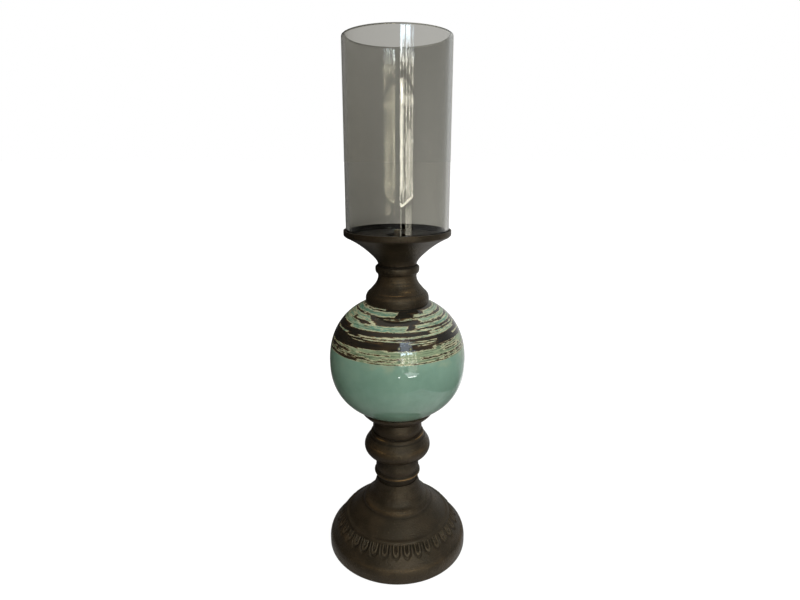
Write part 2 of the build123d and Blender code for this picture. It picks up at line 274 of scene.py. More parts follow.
def use(tree, wanted, **values):
    """Places a node group, with its inputs given by name."""
    return put(tree, add(tree, "ShaderNodeGroup", node_tree=wanted), **values)


def finish_of(name, **settings):
    """A new material with its Principled BSDF, its node tree and the settings put in."""
    made = bpy.data.materials.new(name)
    made.use_nodes = True
    shader = made.node_tree.nodes["Principled BSDF"]
    put(made.node_tree, shader, **settings)
    return made, made.node_tree, shader


def bumped(tree, shader, height, distance, strength):
    made = add(tree, "ShaderNodeBump")
    put(tree, made, Height=height, Distance=distance, Strength=strength)
    put(tree, shader, Normal=made.outputs["Normal"])


# ---------------- finishes

def cast_grain_group():
    """The sandy skin of a painted casting: broad clouding and fine grain."""
    tree, given, wanted = group("cast grain", ("Cloud Scale", "Grain Scale"),
                                ("Cloud", "Grain", "Height"))
    spot = place(tree)
    cloud = noise(tree, spot, given["Cloud Scale"], 4, 0.55, 0.4)
    grain = noise(tree, spot, given["Grain Scale"], 3, 0.6)
    tree.links.new(cloud, wanted["Cloud"])
    tree.links.new(grain, wanted["Grain"])
    feed(tree, wanted["Height"], plus(tree, times(tree, cloud, 0.4), grain))
    return tree


def gold_rub_group():
    """Gold where the dark paint was rubbed off along an edge, brushed round the axis; its soft haze
    is partly a painted sheen.
    """
    tree, given, wanted = group("gold rub and sheen", ("Height", "Depth", "Angle", "Spread", "Amount"),
                                ("Mask",))
    turn, height = round_the_axis(tree)
    away = unsigned(tree, minus(tree, height, given["Height"]))
    line = minus(tree, 1.0, calc(tree, "DIVIDE", away, given["Depth"]), clamp=True)
    off = calc(tree, "WRAP", minus(tree, turn, given["Angle"]), 180.0, -180.0)
    beside = calc(tree, "DIVIDE", unsigned(tree, off), given["Spread"])
    near = minus(tree, 1.0, times(tree, beside, beside), clamp=True)
    streaky = noise(tree, place(tree, (70, 70, 900)), 1.0, 4, 0.65)
    broken = plus(tree, times(tree, streaky, 0.55),
                  times(tree, noise(tree, place(tree), 1100.0, 3, 0.6), 0.45))
    share = times(tree, times(tree, line, near), given["Amount"])
    rubbed = plus(tree, share, minus(tree, broken, 1.0))
    # the soft haze is partly a painted sheen, lightening broad areas where highlights fall
    soft_rub_and_sheen = times(tree, times(tree, share, 0.4), ramp(tree, broken, 0.38, 0.58))
    feed(tree, wanted["Mask"], most(tree, ramp(tree, rubbed, -0.02, 0.32), soft_rub_and_sheen))
    return tree


CAST_GRAIN = cast_grain_group()
GOLD_RUB_AND_SHEEN = gold_rub_group()

BRONZE_DARK = (0.024, 0.0175, 0.0108, 1)
BRONZE_BROWN = (0.041, 0.0285, 0.0172, 1)
BRONZE_SPECK = (0.10, 0.075, 0.045, 1)
# the colour of the painted shade in creases and of the patina with painted shade in the tongues'
# pockets
BRONZE_SHADE_AND_PATINA = (0.009, 0.007, 0.005, 1)
BRONZE_SHEEN = (1.0, 0.84, 0.62, 1)
GOLD = (0.40, 0.235, 0.095, 1)
GOLD_COVER = 0.8                # how much of the paint the gold hides where it is full
PAINT_METAL = 0.25
GOLD_METAL = 0.55               # added where the gold shows
TONGUE_SHADE_FADE = (23.5, 28.5)  # the patina and painted shade in the tongues' pockets fade from the upper height to the lower

# Where the gold rub shows, some of it a painted highlight or sheen: height, depth up and down,
# angle round the axis, spread, amount.
RUBBED_AND_SHEEN = (
    (132.2, 1.3, -38, 20, 0.98),    # bulb's lip
    (132.2, 1.0, 62, 46, 0.98),
    (132.2, 1.3, 175, 60, 0.75),
    (85.4, 1.5, 20, 50, 0.98),      # collar's lip
    (85.4, 1.2, 55, 40, 0.92),
    (85.4, 1.2, 0, 95, 0.65),
    (85.4, 1.9, 160, 70, 0.75),
    (122.0, 6.5, -32, 34, 0.68),    # bulb's belly
    (121.0, 4.5, 44, 30, 0.42),
    (118.0, 6.0, 170, 70, 0.5),
    (53.4, 3.2, 0, 36, 0.56),       # foot's torus, also a painted highlight on its front
    (53.4, 3.0, -52, 28, 0.45),
    (53.4, 3.0, -150, 60, 0.5),
    (296.0, 2.2, 20, 24, 0.6),      # neck's shoulder
    (290.4, 3.4, 24, 24, 0.72),
    (287.6, 1.2, 0, 46, 0.75),
    # a broad haze on the neck that is a painted highlight
    (299.5, 8.0, -8, 78, 0.42),
    # on the front of the neck's torus above the ball, a painted highlight
    (284.2, 2.6, 4, 60, 0.40),
    (288.0, 3.0, 200, 60, 0.55),
    (14.2, 2.0, 8, 42, 0.44),       # foot's ridge, partly a painted highlight along it
    (14.0, 2.4, 120, 60, 0.5),
    (24.5, 5.0, -66, 22, 0.32),
)

# Painted shade in creases, recesses and under overhangs, with some patina in the creases, where the
# finish is also duller: height, depth up and down, and how dark.
SHADE_BANDS = (
    (322.0, 9.0, 0.3), (313.4, 1.8, 0.8), (305.0, 1.4, 0.35), (286.9, 1.1, 0.3),
    (147.9, 1.8, 0.5), (133.7, 1.0, 0.8), (129.0, 1.3, 0.6), (104.2, 2.2, 0.8), (100.5, 7.0, 0.5),
    (87.6, 1.5, 0.5), (79.0, 4.0, 0.85), (49.0, 2.2, 0.4), (36.2, 2.6, 0.12),
)


def antique_bronze():
    made, tree, shader = finish_of("antique bronze", Specular_Tint=BRONZE_SHEEN)
    grain = use(tree, CAST_GRAIN, Cloud_Scale=55.0, Grain_Scale=680.0)
    paint = blend(tree, ramp(tree, grain["Cloud"], 0.3, 0.7), BRONZE_DARK, BRONZE_BROWN)
    speck = ramp(tree, grain["Grain"], 0.55, 0.75)
    paint = blend(tree, times(tree, speck, 0.4), paint, BRONZE_SPECK)

    _, height = round_the_axis(tree)
    # painted shade in bands round the axis, in creases, recesses and under overhangs
    shade_bands = []
    for level, depth, amount in SHADE_BANDS:
        away = unsigned(tree, minus(tree, height, level))
        shade_bands.append(times(tree, ramp(tree, away, depth, 0.0), amount))
    # the tongues' pockets get dark patina with painted shade, strongest towards their upper ends
    relief = add(tree, "ShaderNodeAttribute", attribute_name="relief").outputs["Fac"]
    sunk = ramp(tree, relief, -0.15, -0.85)
    proud = ramp(tree, relief, 0.05, 0.40)
    upper = graded(tree, ramp(tree, height, *TONGUE_SHADE_FADE), 0.2, 1.0)
    shade_and_patina = most(tree, times(tree, sunk, upper), *shade_bands)
    paint = blend(tree, times(tree, shade_and_patina, 0.9), paint, BRONZE_SHADE_AND_PATINA)
    paint = blend(tree, times(tree, proud, 0.4), paint, BRONZE_SPECK)

    rubs_and_sheens = [use(tree, GOLD_RUB_AND_SHEEN, Height=level, Depth=depth, Angle=angle, Spread=spread,
                Amount=amount)["Mask"]
            for level, depth, angle, spread, amount in RUBBED_AND_SHEEN]
    gold_and_sheen = times(tree, most(tree, *rubs_and_sheens), GOLD_COVER)
    metal = plus(tree, PAINT_METAL, times(tree, gold_and_sheen, GOLD_METAL))
    turned_off = ramp(tree, add(tree, "ShaderNodeLayerWeight").outputs["Facing"], 1.0, 0.45)
    rough = plus(tree, graded(tree, grain["Grain"], 0.27, 0.43), times(tree, shade_and_patina, 0.3))
    put(tree, shader, Base_Color=blend(tree, gold_and_sheen, paint, GOLD), Roughness=rough,
        Metallic=times(tree, metal, turned_off),
        Specular_IOR_Level=graded(tree, turned_off, 0.08, 0.40))
    bumped(tree, shader, grain["Height"], 0.0007, 0.9)
    return made


def stroke_group():
    """How far in mm a place lies inside a brush stroke round the ball; below 0 it is outside."""
    tree, given, wanted = group(
        "glaze stroke",
        ("Angle", "Height", "Middle", "Half Width", "Start", "End", "Slant", "Climb", "Taper"),
        ("Reach",))
    run = minus(tree, given["Angle"], given["Start"])
    middle = plus(tree, given["Middle"], times(tree, run, given["Climb"]))
    above = minus(tree, given["Height"], middle)
    inside = minus(tree, given["Half Width"], unsigned(tree, above))
    left = minus(tree, given["End"], given["Angle"])
    cut = plus(tree, left, times(tree, above, given["Slant"]))
    ends = least(tree, times(tree, run, 0.25), times(tree, cut, given["Taper"]))
    feed(tree, wanted["Reach"], least(tree, inside, ends))
    return tree


STROKE = stroke_group()

# Strokes of green glaze on the dark ground, as middle height, half width, first and last angle.
# Some go on with the slant of their last end in degrees per mm, and a climb in mm per degree.
GREEN_STROKES = (
    (274.9, 0.5, -80, -20),
    (273.0, 1.5, -120, -1, 2.0, -0.006),
    (269.6, 1.3, -140, -36, -2.0, -0.004),
    (266.9, 1.3, -150, -62),
    (263.6, 2.2, -150, -50),
    (267.2, 0.9, -58, -38, -1.0, 0.03),
    (268.4, 0.8, -44, -24, 0.0, -0.17),
    (261.9, 2.3, -56, 9.5, 1.1, 0.0),
    (269.2, 0.35, -25, 32),
    (272.6, 1.5, 40, 130, 0.0, 0.006),
    (271.2, 0.8, 22, 60, 0.0, 0.012),
    (267.9, 1.6, 27, 140, 0.0, 0.012),
    (263.5, 1.2, 20, 150, 0.0, 0.012),
    (260.0, 0.45, -22, 150, 0.0, 0.006),
    (257.8, 0.7, 34, 150, 0.0, 0.012),
    (254.6, 0.7, -37, 68, 0.0, 0.022),
    (256.0, 0.8, 28, 72, 0.0, 0.02),
    (253.0, 0.35, -33, 38, 1.5, -0.008),
    (251.4, 0.12, -44, -14),
    (250.4, 0.3, 12, 36),
    (248.6, 0.3, 18, 36, 0.0, 0.02),
    (255.2, 0.4, -85, -55),
    (253.4, 0.2, -52, -36),
    (252.5, 0.7, 62, 150),
)

# The same for the far side, with angles from 0 to 360.
GREEN_BEHIND = (
    (273.6, 1.3, 118, 262),
    (270.2, 1.2, 150, 252, 2.0, -0.01),
    (266.4, 1.7, 128, 232, 0.0, 0.008),
    (262.8, 1.2, 170, 224, 1.4, 0.0),
    (262.2, 1.5, 138, 158),
    (258.6, 1.5, 156, 268, 0.0, -0.01),
    (255.0, 0.5, 120, 214),
    (252.6, 0.8, 164, 250),
    (250.2, 0.3, 140, 190),
)
DARK_BEHIND = (
    (239.4, 0.6, 112, 232),
    (235.2, 0.5, 146, 258),
    (243.2, 0.5, 170, 246),
    (237.2, 0.4, 118, 176),
)

# Dark streaks brushed over the pale border below the bands.
DARK_STREAKS = (
    (246.2, 1.6, -9, 32),
    (244.2, 1.1, -85, -36, 0.0, 0.02),
    (240.6, 1.2, -95, -44),
    (238.6, 0.5, -95, -52),
    (237.2, 0.6, -62, -26),
    (241.4, 0.4, -34, -8),
    (246.8, 0.5, 36, 60, 0.0, 0.02),
    (244.0, 0.5, 42, 64),
    (234.4, 1.4, -95, -34),
    (236.0, 0.5, -52, -22),
    (235.6, 0.5, -20, -3, 0.0, 0.02),
    (233.4, 0.4, -24, 2),
    (238.2, 0.5, -11, 4),
    (237.9, 0.7, 21, 80, 0.0, 0.004),
    (235.1, 0.5, 40, 80),
    (242.0, 0.35, 44, 66),
    (233.7, 0.4, 10, 46),
    (236.8, 0.5, 75, 140),
)

# Darker green washes over the border.
MOSS_WASHES = (
    (237.6, 2.2, -66, -21),
    (241.0, 3.4, -90, -42),
    (236.4, 2.0, -90, -40),
    (247.6, 1.0, 36, 58),
    (236.6, 1.0, -12, 5),
    (245.4, 2.4, 32, 64),
    (241.6, 0.9, 38, 70),
    (236.4, 0.8, 24, 80),
)
BANDS_FOOT = 233.0              # plain glaze below this height
DARK_FOOT = 246.0               # dark ground above this height
DARK_FOOT_CLIMB = 0.03          # mm per degree
THIN_GLAZE = (219.0, 232.0)     # the plain glaze thins in runs up to its top, between these heights

# Pits in the glaze, as angle and height.
PITS = (
    (1.5, 247.5),
    (11.2, 246.7),
)
PIT_RADIUS = 1.8
PIT_CORE = 0.9
PIT_EDGE = 0.3                  # half the width of its soft edge
PIT_MM_PER_DEGREE = 1.08        # round the ball at the height of the pits
PIT_ROUGHNESS = 0.5             # on top of the glaze's
GLAZE_ROUGHNESS = 0.03

GLAZE_GROUND = (0.020, 0.017, 0.013, 1)
GLAZE_BROWN = (0.105, 0.060, 0.027, 1)
GLAZE_CREAM = (0.58, 0.55, 0.35, 1)
GLAZE_MOSS = (0.10, 0.145, 0.085, 1)
GLAZE_TEAL = (0.125, 0.29, 0.215, 1)
GLAZE_PALE = (0.30, 0.41, 0.28, 1)
GLAZE_OLIVE = (0.28, 0.35, 0.21, 1)
GLAZE_PLAIN = (0.25, 0.39, 0.30, 1)
GLAZE_PLAIN_DEEP = (0.205, 0.335, 0.255, 1)
GLAZE_FLECK = (0.33, 0.44, 0.33, 1)
GLAZE_THIN = (0.38, 0.44, 0.30, 1)
GLAZE_PIT = (0.27, 0.26, 0.13, 1)


def strokes_reach(tree, turn, height, strokes):
    """The most that any of the strokes reaches; a stroke cut on the slant ends sharply."""
    reaches = []
    for middle, half_width, start, end, *bent in strokes:
        slant, climb = bent or (0.0, 0.0)
        reaches.append(use(tree, STROKE, Angle=turn, Height=height, Middle=middle,
                           Half_Width=half_width, Start=start, End=end, Slant=slant, Climb=climb,
                           Taper=1.0 if slant else 0.25)["Reach"])
    return most(tree, *reaches)


def banded_glaze():
    """Green strokes with cream edges over a dark ground, a streaked border and a plain foot."""
    made, tree, shader = finish_of("banded glaze")
    turn, height = round_the_axis(tree)
    slow = noise(tree, place(tree, (14, 14, 90)), 1.0, 2, 0.5)
    brushed = minus(tree, noise(tree, place(tree, (22, 22, 700)), 1.0, 3, 0.6), 0.5)
    ragged = minus(tree, noise(tree, place(tree, (170, 170, 1200)), 1.0, 4, 0.7), 0.5)
    streak = noise(tree, place(tree, (45, 45, 1150), (2, 5, 1)), 1.0, 3, 0.65)
    dash = noise(tree, place(tree, (150, 150, 1300), (4, 1, 3)), 1.0, 3, 0.65)
    patch = noise(tree, place(tree, (26, 26, 150), (3, 1, 2)), 1.0, 3, 0.6)
    waved = plus(tree, height, times(tree, minus(tree, slow, 0.5), 2.2))
    frayed = plus(tree, times(tree, brushed, 2.6), times(tree, ragged, 2.4))

    all_round = calc(tree, "WRAP", turn, 360.0, 0.0)
    strokes = most(tree, strokes_reach(tree, turn, waved, GREEN_STROKES),
                   strokes_reach(tree, all_round, waved, GREEN_BEHIND))
    climb = times(tree, turn, ramp(tree, unsigned(tree, turn), 178.0, 90.0))
    level = minus(tree, waved, times(tree, climb, DARK_FOOT_CLIMB))
    border = minus(tree, DARK_FOOT, level)
    green = plus(tree, most(tree, strokes, border), frayed)
    streaks = most(tree, strokes_reach(tree, turn, waved, DARK_STREAKS),
                   strokes_reach(tree, all_round, waved, DARK_BEHIND))
    streaks = plus(tree, streaks, times(tree, ragged, 4.0))
    washes = plus(tree, strokes_reach(tree, turn, waved, MOSS_WASHES), times(tree, ragged, 5.0))
    green = least(tree, green, times(tree, streaks, -1.0))
    plain = plus(tree, minus(tree, BANDS_FOOT, waved), times(tree, frayed, 0.35))
    green = most(tree, green, times(tree, plain, 3.0))

    core = blend(tree, ramp(tree, patch, 0.42, 0.58), GLAZE_PALE, GLAZE_TEAL)
    on_border = ramp(tree, border, -0.5, 1.0)
    core = blend(tree, on_border, core, GLAZE_OLIVE)
    for mask, amount, colour in (
            (ramp(tree, dash, 0.52, 0.60), graded(tree, on_border, 0.6, 0.25), GLAZE_CREAM),
            (ramp(tree, streak, 0.50, 0.39), 0.75, GLAZE_MOSS),
            (ramp(tree, washes, -0.5, 0.5), 0.8, GLAZE_MOSS),
            (ramp(tree, dash, 0.40, 0.32), 0.85, GLAZE_BROWN)):
        core = blend(tree, times(tree, mask, amount), core, colour)
    edge = times(tree, ramp(tree, green, 0.75, 0.3), ramp(tree, dash, 0.38, 0.46))
    edged = blend(tree, edge, core, GLAZE_CREAM)
    low = times(tree, ramp(tree, height, 255.0, 247.0), 0.3)
    brown = most(tree, times(tree, ramp(tree, green, -1.1, -0.2), ramp(tree, dash, 0.44, 0.54)),
                 times(tree, ramp(tree, streak, 0.58, 0.70), 0.5),
                 times(tree, low, ramp(tree, patch, 0.4, 0.6)))
    ground = blend(tree, times(tree, brown, 0.9), GLAZE_GROUND, GLAZE_BROWN)
    banded = blend(tree, ramp(tree, green, -0.15, 0.15), ground, edged)

    nearest = []
    for angle, pit_height in PITS:
        aside = times(tree, minus(tree, turn, angle), PIT_MM_PER_DEGREE)
        above = minus(tree, height, pit_height)
        square = plus(tree, times(tree, aside, aside), times(tree, above, above))
        nearest.append(calc(tree, "SQRT", square))
    off = least(tree, *nearest)
    pits = ramp(tree, off, PIT_RADIUS + PIT_EDGE, PIT_RADIUS - PIT_EDGE)
    cores = ramp(tree, off, PIT_CORE + PIT_EDGE, PIT_CORE - PIT_EDGE)
    banded = blend(tree, pits, banded, GLAZE_GROUND)
    banded = blend(tree, cores, banded, GLAZE_PIT)

    cloud = noise(tree, place(tree), 38.0, 4, 0.6)
    fleck = noise(tree, place(tree), 900.0, 2, 0.5)
    glaze = blend(tree, ramp(tree, cloud, 0.3, 0.7), GLAZE_PLAIN_DEEP, GLAZE_PLAIN)
    glaze = blend(tree, times(tree, ramp(tree, fleck, 0.6, 0.8), 0.25), glaze, GLAZE_FLECK)
    runs = noise(tree, place(tree, (42, 42, 60), (1, 2, 0)), 1.0, 3, 0.5)
    thin = times(tree, ramp(tree, height, *THIN_GLAZE), ramp(tree, runs, 0.46, 0.62))
    glaze = blend(tree, times(tree, thin, 0.6), glaze, GLAZE_THIN)
    put(tree, shader, Base_Color=blend(tree, ramp(tree, plain, -0.2, 0.5), banded, glaze),
        Roughness=plus(tree, GLAZE_ROUGHNESS, times(tree, pits, PIT_ROUGHNESS)))
    raised = plus(tree, ramp(tree, green, -0.6, 0.8), times(tree, cloud, 0.6))
    bumped(tree, shader, raised, 0.00018, 0.35)
    return made


GLASS_OUTER_TINT = (0.264, 0.261, 0.244, 1)
GLASS_INNER_TINT = (0.66, 0.65, 0.60, 1)
GLASS_IOR = 1.46


def smoke_glass(inner_radius, outer_radius):
    """Clear glass with its smoke colour mostly on the outer side."""
    made, tree, shader = finish_of("smoke glass", Roughness=0.0, IOR=GLASS_IOR,
                                   Transmission_Weight=1.0)
    radius = length_of(tree, place(tree, (1, 1, 0)))
    middle = (inner_radius + outer_radius) / 2 * MM
    outside = ramp(tree, radius, middle - 0.2 * MM, middle + 0.2 * MM)
    put(tree, shader, Base_Color=blend(tree, outside, GLASS_INNER_TINT, GLASS_OUTER_TINT))
    return made


STEEL_BRIGHT = (0.50, 0.43, 0.30, 1)
STEEL_STAINED = (0.34, 0.26, 0.16, 1)
RUBBER_BLACK = (0.014, 0.014, 0.014, 1)
RUBBER_DUST = (0.035, 0.034, 0.032, 1)
FELT_DEEP = (0.010, 0.010, 0.010, 1)
FELT_FIBRE = (0.034, 0.033, 0.031, 1)


def plated_steel():
    made, tree, shader = finish_of("plated steel", Metallic=1.0)
    turning = noise(tree, place(tree, (900, 900, 90)), 1.0, 3, 0.6)
    stain = noise(tree, place(tree), 160.0, 4, 0.6)
    stained = blend(tree, ramp(tree, stain, 0.4, 0.7), STEEL_BRIGHT, STEEL_STAINED)
    put(tree, shader, Base_Color=stained, Roughness=graded(tree, turning, 0.28, 0.48))
    bumped(tree, shader, turning, 0.00005, 0.3)
    return made


def seal_rubber():
    made, tree, shader = finish_of("seal rubber", Roughness=0.75)
    dust = noise(tree, place(tree), 500.0, 3, 0.6)
    put(tree, shader,
        Base_Color=blend(tree, ramp(tree, dust, 0.5, 0.8), RUBBER_BLACK, RUBBER_DUST))
    bumped(tree, shader, dust, 0.0001, 0.4)
    return made


def felt_finish():
    made, tree, shader = finish_of("felt", Roughness=0.95, Sheen_Weight=0.3, Sheen_Roughness=0.5)
    fibres = noise(tree, place(tree), 2600.0, 4, 0.7, 1.5)
    matted = noise(tree, place(tree), 240.0, 3, 0.6)
    tone = plus(tree, times(tree, fibres, 0.6), times(tree, matted, 0.4))
    put(tree, shader, Base_Color=blend(tree, ramp(tree, tone, 0.35, 0.65), FELT_DEEP, FELT_FIBRE))
    bumped(tree, shader, tone, 0.0004, 0.8)
    return made


# ---------------- pieces

BRONZE = antique_bronze()
ROD_HOLE = 3.3                  # radius of the bores that the rod passes through

BASE_FOOT = foot_of("base_casting")
BASE_TOP = top_of("base_casting")
COLLAR_TOP = top_of("stem_collar")
BULB_TOP = top_of("stem_bulb")


def in_bronze(piece, node):
    fitted(piece, "stand", BRONZE, node)


# Foot: the slope that carries the tongues runs from the ledge down to the ridge.
LEDGE = (58.3, 33.0)
SLOPE_END = (67.2, 21.1)
SLOPE_LENGTH = math.dist(LEDGE, SLOPE_END)
SLOPE_MARGIN = 0.02             # left flat at both ends of the slope
RING_REACH = 2.0                # how near to a joint's height its two open rings lie
FOOT_COLUMNS = 204
FOOT_CURVE_STEPS = 4
TONGUES = 34
TONGUE_COLUMNS = 24
TONGUE_ROWS = 34
TONGUE_TOP_DEPTH = 0.9          # how far above a tongue's start its shape still counts
FIRST_TONGUE = -91.5            # angle from +X in degrees

# What a tongue is made of, each on the one before: half width, length of the straight sides,
# whole length and bluntness of the tip, then the width of its edge and how far it rises.
TONGUE_SHAPES = (
    (4.9, 7.6, 14.4, 0.7, 0.7, -0.95),      # sunk pocket
    (3.65, 6.8, 12.0, 0.72, 0.85, 1.35),    # raised loop
    (1.75, 5.4, 8.8, 0.6, 0.6, -1.15),      # hollow of the loop
    (0.8, 5.9, 7.3, 0.5, 0.55, 0.9),        # bar in the hollow
)


def slope_points():
    """Points down the slope, close together, from the ledge to below the tongues."""
    points = []
    for row in range(TONGUE_ROWS + 1):
        share = row / TONGUE_ROWS
        points.append((LEDGE[0] + share * (SLOPE_END[0] - LEDGE[0]),
                       LEDGE[1] + share * (SLOPE_END[1] - LEDGE[1])))
    return points


def soft_step(value):
    value = min(max(value, 0.0), 1.0)
    return value * value * (3 - 2 * value)


def tongue_shape(across, down, half_width, straight, length, blunt):
    """How far in mm a place is inside a tongue: straight sides, then a round end with a tip."""
    if down < straight:
        width = half_width
    else:
        share = min((down - straight) / (length - straight), 1.0)
        width = half_width * (1 - share ** 2) ** blunt
    return min(width - abs(across), (length - down) * 0.8, down + TONGUE_TOP_DEPTH)


def tongue_relief(across, down):
    """Height in mm over the slope."""
    return sum(rise * soft_step(tongue_shape(across, down, *shape) / edge)
               for *shape, edge, rise in TONGUE_SHAPES)


def press_tongue(piece):
    """Moves one sector's vertices out and in, and notes the relief for the finish."""
    slope = Vector((SLOPE_END[0] - LEDGE[0], SLOPE_END[1] - LEDGE[1])).normalized()
    outward = (-slope.y, slope.x)
    middle = math.radians(FIRST_TONGUE)
    relief = piece.data.attributes.new("relief", "FLOAT", "POINT")
    for vertex in piece.data.vertices:
        radius = math.hypot(vertex.co.x, vertex.co.y) / MM
        height = vertex.co.z / MM
        down = (radius - LEDGE[0]) * slope.x + (height - LEDGE[1]) * slope.y
        if not SLOPE_MARGIN < down < SLOPE_LENGTH - SLOPE_MARGIN:
            continue
        turn = math.atan2(vertex.co.y, vertex.co.x) - middle
        lift = tongue_relief(turn * radius, down)
        relief.data[vertex.index].value = lift
        share = (radius + lift * outward[0]) / radius
        vertex.co.x *= share
        vertex.co.y *= share
        vertex.co.z += lift * outward[1] * MM


def tongue_band():
    """One tongue's sector of the slope, copied round the foot."""
    band = drawn("tongue band", slope_points(), closed=False)
    sector = 2 * math.pi / TONGUES
    start = math.radians(FIRST_TONGUE) + sector / 2
    edit(band)
    bpy.ops.transform.rotate(value=-start, orient_axis="Z", center_override=(0, 0, 0))
    bpy.ops.object.mode_set(mode="OBJECT")
    spun(band, TONGUE_COLUMNS, sector)
    press_tongue(band)
    spun(band, TONGUES - 1, 2 * math.pi - sector, copies=True)
    bpy.ops.object.shade_smooth()
    return band


def join_rings(piece, height):
    """Bridges the two open rings of edges that lie close to this height in mm."""
    edit(piece)
    bpy.ops.mesh.select_mode(type="EDGE")
    bpy.ops.mesh.select_all(action="DESELECT")
    bpy.ops.mesh.select_non_manifold()
    bpy.ops.object.mode_set(mode="OBJECT")
    points = piece.data.vertices
    for edge in piece.data.edges:
        middle = sum(points[end].co.z for end in edge.vertices) / 2 / MM
        edge.select = edge.select and abs(middle - height) < RING_REACH
    bpy.ops.object.mode_set(mode="EDIT")
    bpy.ops.mesh.bridge_edge_loops()
    bpy.ops.object.mode_set(mode="OBJECT")


def base_casting():
    outline = [
        *curved((67.9, 20.2), (69.3, 18.3), (70.9, 16.2), (72.2, 14.7)),
        (73.0, 13.9),
        *curved((73.4, 13.3), (74.3, 11.3), (74.95, 8.9)),
        (75.2, 6.2), (75.2, 0.8), (74.9, BASE_FOOT), (73.6, BASE_FOOT), (73.6, 1.8), (67.2, 1.8),
        (67.2, BASE_FOOT), (65.6, BASE_FOOT), (65.6, 6.0), (69.9, 12.1), (55.7, 31.1),
        (52.6, 32.4), (35.0, 45.0), (29.3, 52.9), (20.0, 62.5), (ROD_HOLE, 62.5),
        (ROD_HOLE, BASE_TOP), (22.4, BASE_TOP),
        *curved((22.9, 74.6), (23.9, 71.0), (25.6, 66.4), (27.4, 61.9), (29.2, 59.2), (30.6, 57.4),
                (32.0, 56.3), (33.8, 55.4), (35.5, 54.0), (36.7, 52.2), (37.1, 50.6), (37.6, 49.3),
                (39.2, 48.2), (42.5, 45.6), (46.2, 42.6), (49.6, 39.4), (52.0, 37.1), (53.1, 36.1),
                (54.2, 35.5), (55.4, 35.3), (56.5, 34.9), (57.5, 34.1)),
        (58.1, 33.3)]
    piece = drawn("foot", outline, closed=False, steps=FOOT_CURVE_STEPS)
    spun(piece, FOOT_COLUMNS)
    softened(piece, 0.3)
    band = tongue_band()
    band.select_set(True)
    piece.select_set(True)
    bpy.context.view_layer.objects.active = piece
    bpy.ops.object.join()
    join_rings(piece, LEDGE[1])
    join_rings(piece, SLOPE_END[1])
    edit(piece)
    bpy.ops.mesh.normals_make_consistent(inside=False)
    bpy.ops.object.mode_set(mode="OBJECT")
    bpy.ops.object.shade_smooth_by_angle(angle=FLAT_TO_SMOOTH)
    in_bronze(piece, "base_casting")


FELT_WIDTH = 6.0
FELT_BULGE = 0.12               # how far the cut sides stand out under load


def base_felt():
    low, high = foot_of("base_felt"), top_of("base_felt")
    outer = radius_of("base_felt")
    inner = outer - FELT_WIDTH
    outline = [
        (inner, low + 0.4), (inner + 0.1, low + 0.12), (inner + 0.4, low), (outer - 0.4, low),
        (outer - 0.1, low + 0.12), (outer, low + 0.4), (outer + FELT_BULGE, low + 0.9),
        (outer, high), (inner, high), (inner - FELT_BULGE, low + 0.9)]
    piece = turned("felt ring", outline, soften=0)
    piece.name = "felt_ring"
    fitted(piece, "stand", felt_finish(), "base_felt")


def stem_collar():
    foot = BASE_TOP
    outline = [
        (16.0, foot), (21.0, foot), (21.0, 81.8), (22.6, 82.3),
        *curved((24.1, 83.5), (24.8, 85.2), (24.4, 86.5), (23.1, 87.3), (22.7, 88.2), (22.9, 89.6),
                (23.1, 91.6), (22.9, 94.6), (22.3, 98.2)),
        (21.6, COLLAR_TOP), (ROD_HOLE, COLLAR_TOP), (ROD_HOLE, 97.6), (16.0, 97.6)]
    in_bronze(turned("collar", outline), "stem_collar")


def stem_bulb():
    foot = COLLAR_TOP
    outline = [
        (14.0, foot), (22.2, foot), (23.0, 104.0),
        *curved((25.4, 104.8), (27.6, 105.9), (30.4, 107.5), (32.9, 110.2), (34.5, 113.0),
                (35.2, 116.0), (35.1, 118.6), (34.2, 121.6), (32.6, 124.3), (30.9, 126.8)),
        (29.7, 128.7),
        *curved((29.1, 129.3), (28.6, 130.4), (28.4, 131.6), (27.8, 132.5)),
        (26.6, 132.9), (21.5, 132.9), (21.5, BULB_TOP), (ROD_HOLE, BULB_TOP), (ROD_HOLE, 130.7),
        (14.0, 130.7), (24.0, 126.0), (24.0, 112.1), (14.0, 107.5)]
    in_bronze(turned("bulb", outline), "stem_bulb")


# The ball is an oval drum, a little flatter below its equator than above.
BALL_RADIUS = radius_of("ceramic_ball")
BALL_EQUATOR = 214.2
BALL_DROP = 60.05
BALL_RISE = 66.1
BALL_SQUARENESS = 2.276
BALL_HOLE = 8.0
BALL_WALL = 5.0
BALL_ROWS = 40                  # rows of faces from the equator to a pole
BALL_INNER_ROWS = 4             # one row in so many on the hidden inner side
BALL_GAP = 0.5                  # between the ball and the castings that cup it


def oval(share):
    """How far out the ball's outline stands at a share of its half height, or up at one of its
    radius, both from 0 to 1."""
    return (1 - share ** BALL_SQUARENESS) ** (1 / BALL_SQUARENESS)


def ball_half(inset, side):
    """Points from the equator to the flat at a pole, on the surface or inset from it."""
    half_height = (BALL_RISE if side > 0 else BALL_DROP) - inset
    limit = top_of("ceramic_ball") if side > 0 else foot_of("ceramic_ball")
    limit -= side * inset
    points = []
    for row in range(BALL_ROWS + 1):
        turn = row / BALL_ROWS * math.pi / 2
        radius = (BALL_RADIUS - inset) * max(math.cos(turn), 0.0) ** (2 / BALL_SQUARENESS)
        height = BALL_EQUATOR + side * half_height * math.sin(turn) ** (2 / BALL_SQUARENESS)
        if (limit - height) * side <= 0:
            break
        points.append((radius, height))
    share = abs(limit - BALL_EQUATOR) / half_height
    points.append(((BALL_RADIUS - inset) * oval(share), limit))
    return points


def ball_height(radius, side):
    """The height of the ball's surface above or below its equator, at a radius."""
    half_height = BALL_RISE if side > 0 else BALL_DROP
    return BALL_EQUATOR + side * half_height * oval(radius / BALL_RADIUS)


